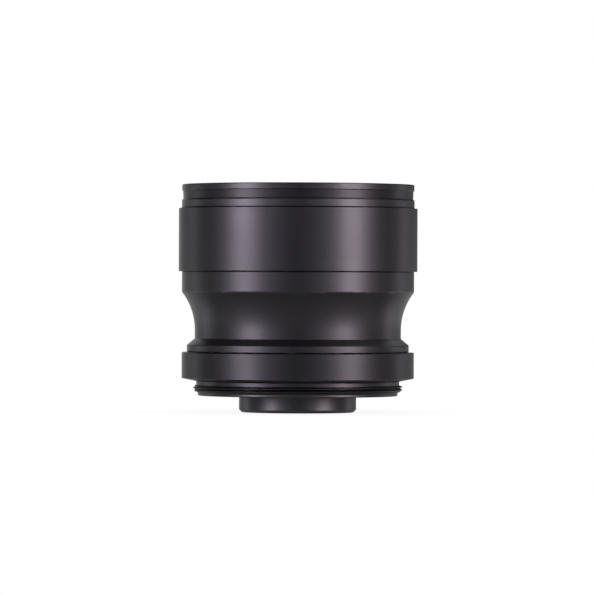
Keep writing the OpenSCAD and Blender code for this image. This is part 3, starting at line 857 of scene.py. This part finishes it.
def makeMountCollar():
    flange, low, high = nodeSpan("mount_collar")
    threadLow = low + collar["pilotHeight"] - mountThread["runIn"]
    flangeZ = high - collar["flangeHeight"]
    neckTop, rimZ = flangeZ - collar["underDrop"], flangeZ + collar["underRise"]
    threadHigh = flangeZ - mountThread["neckEnd"]
    recessZ = nodeSpan("collar_washer")[1] - collar["play"]
    lipZ = nodeSpan("collar_retainer")[2] + collar["lipClear"]
    cut, topCut, soft = collar["chamfer"], collar["topChamfer"], collar["edge"]
    root, neck, pilot = mountThread["lowR"], collar["neck"], collar["pilot"]
    bore, recess, pocket = collar["bore"], collar["recess"], collar["pocket"]
    # the fourth numbers paint shade: at the thread's ends, under the flange, on the flange's outer wall and
    # at its top chamfer by the joint
    corners = [(root, threadHigh, 0, 1), (neck, threadHigh, fine), (neck, neckTop, collar["neckRound"], 0.8),
               (flange, rimZ, collar["underRound"]),
               (flange, rimZ + collar["paintedShadeStart"], 0, collar["flangePaintedShade"]),
               (flange, high - topCut, soft, 0.5), (flange - topCut, high, soft, 1), (recess, high, fine, 1),
               (recess, recessZ, 0), (bore, recessZ, 0), (bore, lipZ, 0), (pocket, lipZ, 0),
               (pocket, low, collar["pocketRound"]), (pilot - cut, low, soft), (pilot, low + cut, soft),
               (pilot, low + collar["pilotLand"], fine),
               (pilot + collar["pilotRise"], threadLow, collar["pilotRound"], 1), (root, threadLow, 0, 1)]
    thread = {**mountThread, "low": threadLow, "high": threadHigh}
    addPiece(threadedMesh("mountCollar", corners, thread), collarBlackPaintedLight, "collar", "mount_collar")


def dressHiddenNodes():
    for name in ("barrel_set_screws", "cell_set_screws", "stop_clip"):
        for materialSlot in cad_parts[name].material_slots:
            materialSlot.material = screwSteel


makeCoverSleeve()
makeWaistBarrel()
makeFrontRing()
makeFrontBarrel()
print("barrel pieces made")
makeLenses()
makeFrontRetainer()
makeFrontCushion()
makeLensSpacer()
makeGlareStop()
print("lenses and their rings made")
makeRearCell()
makeRearRetainer()
makeCollarRetainer()
makeThinRings()
makeMountCollar()
dressHiddenNodes()
print("rear cell and mount made")


# studio

photo = {
    "size": 595,  # pixels
    "focal": 4832.0,  # pixels
    "distance": 1.13,  # metres, from the optical axis
    "height": 29.7,
    "aim": (-0.105, 26.8),
    "roll": 0.21,  # degrees
    "sensor": 36.0,
    "clip": (0.01, 50.0),  # metres
}


def makeCamera():
    data = bpy.data.cameras.new("photoCamera")
    data.sensor_width = photo["sensor"]
    data.lens = photo["focal"] / photo["size"] * photo["sensor"]
    data.clip_start, data.clip_end = photo["clip"]
    camera = bpy.data.objects.new("photoCamera", data)
    bpy.context.scene.collection.objects.link(camera)
    place = Vector((0, -photo["distance"], photo["height"] * mm))
    aim = Vector((photo["aim"][0] * mm, 0, photo["aim"][1] * mm))
    turn = (aim - place).to_track_quat("-Z", "Y").to_matrix().to_4x4()
    roll = Matrix.Rotation(math.radians(photo["roll"]), 4, "Z")
    camera.matrix_world = Matrix.Translation(place) @ turn @ roll
    bpy.context.scene.camera = camera


strips = {
    "angle": 52.8,  # degrees each side of the camera
    "distance": 0.5,  # metres
    "width": 0.155,
    "low": -3.5,  # degrees of elevation
    "high": 26.0,
    "right": 18.6,  # radiance, where 1 is white
    "left": 17.4,
    "rightColour": (1.14, 1.0, 1.11),
    "leftColour": (1.11, 1.0, 1.17),
}
fillPanels = {"angle": 24.0, "distance": 0.8, "width": 0.24, "low": -9.0, "high": 26.0, "right": 1.0,
              "left": 1.0, "rightColour": (1.0, 1.0, 1.22), "leftColour": (1.0, 1.0, 1.25)}
sidePanels = {"angle": 120.0, "distance": 0.6, "width": 0.107, "low": -22.0, "high": 6.0, "right": 2.6,
              "left": 2.3, "rightColour": (1.05, 1.0, 1.10), "leftColour": (1.0, 1.0, 1.03)}
backPanel = {"turn": 172.0, "elevation": 31.0, "distance": 1.1, "width": 1.0, "height": 0.36, "radiance": 1.0}
highPanel = {"turn": 106.0, "elevation": 57.0, "distance": 1.0, "width": 0.4, "height": 0.35, "radiance": 1.7}


# area lamp of a given radiance: power = radiance * pi * area. One that isn't mirrored lights by direct
# sampling alone, past the floor.
def addLamp(name, place, target, width, height, radiance, colour, mirrored):
    data = bpy.data.lights.new(name, "AREA")
    data.shape = "RECTANGLE"
    data.size = width
    data.size_y = height
    data.energy = radiance * math.pi * width * height
    data.color = colour
    data.cycles.use_multiple_importance_sampling = mirrored
    lamp = bpy.data.objects.new(name, data)
    bpy.context.scene.collection.objects.link(lamp)
    turn = (target - place).to_track_quat("-Z", "Y").to_matrix().to_4x4()
    lamp.matrix_world = Matrix.Translation(place) @ turn
    lamp.visible_camera = False


# two upright lamps at the same angle each side of the camera
def addPair(name, pair):
    middle = Vector((0, 0, photo["height"] * mm))
    low = pair["distance"] * math.tan(math.radians(pair["low"]))
    high = pair["distance"] * math.tan(math.radians(pair["high"]))
    for side, sign in (("right", 1), ("left", -1)):
        angle = math.radians(pair["angle"]) * sign
        out = Vector((math.sin(angle), -math.cos(angle), 0)) * pair["distance"]
        level = middle + Vector((0, 0, (low + high) / 2))
        addLamp(name + side.capitalize(), out + level, level, pair["width"], high - low, pair[side],
                pair[side + "Colour"], False)


# soft lamp above the object, turned round it from the camera's side
def addPanel(name, panel):
    middle = Vector((0, 0, photo["height"] * mm))
    turn, lift = math.radians(panel["turn"]), math.radians(panel["elevation"])
    out = Vector((math.sin(turn) * math.cos(lift), -math.cos(turn) * math.cos(lift), math.sin(lift)))
    addLamp(name, middle + out * panel["distance"], middle, panel["width"], panel["height"],
            panel["radiance"], (1.0, 1.0, 1.0), True)


def makeLamps():
    addPair("strip", strips)
    addPair("fillPanel", fillPanels)
    addPair("sidePanel", sidePanels)
    addPanel("backPanel", backPanel)
    addPanel("highPanel", highPanel)


room = {
    "dim": (0.057, 0.063, 0.084),
    "back": (0.030, 0.032, 0.034),
    "backEdge": (-0.2, 0.7),  # part of the direction that leads away from the camera
    "ceiling": (0.010, 0.010, 0.011),
    "ceilingEdge": (0.5, 0.9),  # upward part of the direction
    "whiteSide": (0.42, 0.17),  # sideways part, from the fade's outer end to its inner end
    "whiteLean": 0.15,  # towards the left
    "whiteTop": (0.55, 0.2),
}


# 1 straight behind the object and a little to the left, fading to 0 on both sides
def whiteBehind(tree, direction):
    aside = mathNode(tree, "ABSOLUTE", mathNode(tree, "ADD", direction.outputs["X"], room["whiteLean"]))
    away = mathNode(tree, "GREATER_THAN", direction.outputs["Y"], 0.0)
    return mathNode(tree, "MULTIPLY", fadeNode(tree, aside, room["whiteSide"]), away)


# rays that metal and glass send out
def shineRays(tree, path):
    return mathNode(tree, "MAXIMUM", path.outputs["Is Glossy Ray"], path.outputs["Is Transmission Ray"])


# white for the camera all round. Metal and glass see that white behind the object, a dim room elsewhere and
# a dark ceiling.
def makeWorld():
    world = bpy.data.worlds.new("studio")
    world.use_nodes = True
    tree = world.node_tree
    tree.nodes.clear()
    path = tree.nodes.new("ShaderNodeLightPath")
    split = tree.nodes.new("ShaderNodeSeparateXYZ")
    tree.links.new(tree.nodes.new("ShaderNodeTexCoord").outputs["Generated"], split.inputs[0])
    under = fadeNode(tree, split.outputs["Z"], room["whiteTop"])
    behind = mathNode(tree, "MULTIPLY", whiteBehind(tree, split), under)
    mirrored = mathNode(tree, "MULTIPLY", shineRays(tree, path), behind)
    white = mathNode(tree, "MAXIMUM", path.outputs["Is Camera Ray"], mirrored)
    walls = mixColour(tree, fadeNode(tree, split.outputs["Y"], room["backEdge"]), room["dim"], room["back"])
    walls = mixColour(tree, fadeNode(tree, split.outputs["Z"], room["ceilingEdge"]), walls, room["ceiling"])
    background = tree.nodes.new("ShaderNodeBackground")
    tree.links.new(mixColour(tree, white, walls, (1.0, 1.0, 1.0)), background.inputs["Color"])
    output = tree.nodes.new("ShaderNodeOutputWorld")
    tree.links.new(background.outputs[0], output.inputs["Surface"])
    bpy.context.scene.world = world


floorLook = {
    "half": 6.0,  # metres
    "drop": 0.02,
    "pale": (0.80, 0.80, 0.80),
    "inMetal": 0.40,  # how much of the white the metal and glass see near the object
    "behind": (0.06, 0.3),  # metres behind it, where they come to see all of it
    "back": (0.1, 0.9),  # how far back the direction leans where they see more
    "backRise": 0.27,
    "shadow": 0.92,
    "shadowReach": 0.02,  # metres
    "shadowSamples": 8,
}
# painted shadow and painted pool of light on both sides, seen by metal and glass alone; start and end in
# metres from the axis
sideShadow = {"lean": -0.06, "edge": (0.3, 0.12), "start": (0.042, 0.05), "end": (0.085, 0.07),
              "change": -0.4}
sideLightPool = {"lean": -0.25, "edge": (0.3, 0.12), "start": (0.075, 0.085), "end": (0.17, 0.13),
            "change": 1.0}


# change to the floor's glow in a soft patch: the direction's lean back is near the patch's lean, and the
# distance lies between its start and its end
def floorPatch(tree, direction, distance, patch):
    lean = mathNode(tree, "ABSOLUTE", mathNode(tree, "SUBTRACT", direction.outputs["Y"], patch["lean"]))
    ring = mathNode(tree, "MULTIPLY", fadeNode(tree, distance, patch["start"]),
                    fadeNode(tree, distance, patch["end"]))
    mask = mathNode(tree, "MULTIPLY", fadeNode(tree, lean, patch["edge"]), ring)
    return mathNode(tree, "MULTIPLY", mask, patch["change"])


# how bright the floor is to metal and glass: dim near the object as painted shade, with the painted shadow
# and pool of light beside it, and white far behind it
def floorGlow(tree):
    point = tree.nodes.new("ShaderNodeTexCoord").outputs["Object"]
    direction = tree.nodes.new("ShaderNodeVectorMath")
    direction.operation = "NORMALIZE"
    tree.links.new(point, direction.inputs[0])
    split = tree.nodes.new("ShaderNodeSeparateXYZ")
    tree.links.new(direction.outputs[0], split.inputs[0])
    place = tree.nodes.new("ShaderNodeSeparateXYZ")
    tree.links.new(point, place.inputs[0])
    behind = fadeNode(tree, place.outputs["Y"], floorLook["behind"])
    far = mathNode(tree, "MULTIPLY", whiteBehind(tree, split), behind)
    reach = tree.nodes.new("ShaderNodeVectorMath")
    reach.operation = "LENGTH"
    tree.links.new(point, reach.inputs[0])
    beside = mathNode(tree, "ADD", floorPatch(tree, split, reach.outputs["Value"], sideShadow),
                      floorPatch(tree, split, reach.outputs["Value"], sideLightPool))
    leanBack = fadeNode(tree, split.outputs["Y"], floorLook["back"])
    back = mathNode(tree, "MULTIPLY", leanBack, floorLook["backRise"])
    near = mathNode(tree, "ADD", mathNode(tree, "ADD", beside, floorLook["inMetal"]), back)
    return mathNode(tree, "MAXIMUM", far, near)


def mixShaders(tree, factor, first, second):
    mix = tree.nodes.new("ShaderNodeMixShader")
    for socket, value in zip(mix.inputs, (factor, first, second)):
        tree.links.new(value, socket)
    return mix.outputs[0]


# pale floor: white to the camera apart from the object's soft shadow, open from below
def makeFloor():
    half = floorLook["half"]
    level = -floorLook["drop"] * mm
    corners = [(x * half, y * half, level) for x, y in ((-1, -1), (1, -1), (1, 1), (-1, 1))]
    mesh = bpy.data.meshes.new("floor")
    mesh.from_pydata(corners, [], [(0, 1, 2, 3)])
    floor = bpy.data.objects.new("floor", mesh)
    bpy.context.scene.collection.objects.link(floor)
    floor.visible_shadow = False  # the lamps at the sides reach below it
    material = bpy.data.materials.new("paleFloor")
    material.use_nodes = True
    tree = material.node_tree
    tree.nodes.clear()
    path = tree.nodes.new("ShaderNodeLightPath")
    camera, shine = path.outputs["Is Camera Ray"], shineRays(tree, path)
    shade = tree.nodes.new("ShaderNodeAmbientOcclusion")
    shade.inputs["Distance"].default_value = floorLook["shadowReach"]
    shade.samples = floorLook["shadowSamples"]
    grey = floorLook["shadow"]
    white = mixColour(tree, shade.outputs["AO"], (grey, grey, grey), (1.0, 1.0, 1.0))
    glow = tree.nodes.new("ShaderNodeEmission")
    tree.links.new(white, glow.inputs["Color"])
    strength = mathNode(tree, "MULTIPLY", shine, floorGlow(tree))
    tree.links.new(mathNode(tree, "MAXIMUM", camera, strength), glow.inputs["Strength"])
    pale = tree.nodes.new("ShaderNodeBsdfDiffuse")
    pale.inputs["Color"].default_value = (*floorLook["pale"], 1)
    lit = mixShaders(tree, mathNode(tree, "MAXIMUM", camera, shine), pale.outputs[0], glow.outputs[0])
    below = tree.nodes.new("ShaderNodeNewGeometry").outputs["Backfacing"]
    clear = tree.nodes.new("ShaderNodeBsdfTransparent")
    output = tree.nodes.new("ShaderNodeOutputMaterial")
    tree.links.new(mixShaders(tree, below, lit, clear.outputs[0]), output.inputs["Surface"])
    mesh.materials.append(material)


makeCamera()
makeLamps()
makeWorld()
makeFloor()
bpy.context.scene.view_settings.view_transform = "Standard"
print("studio ready")
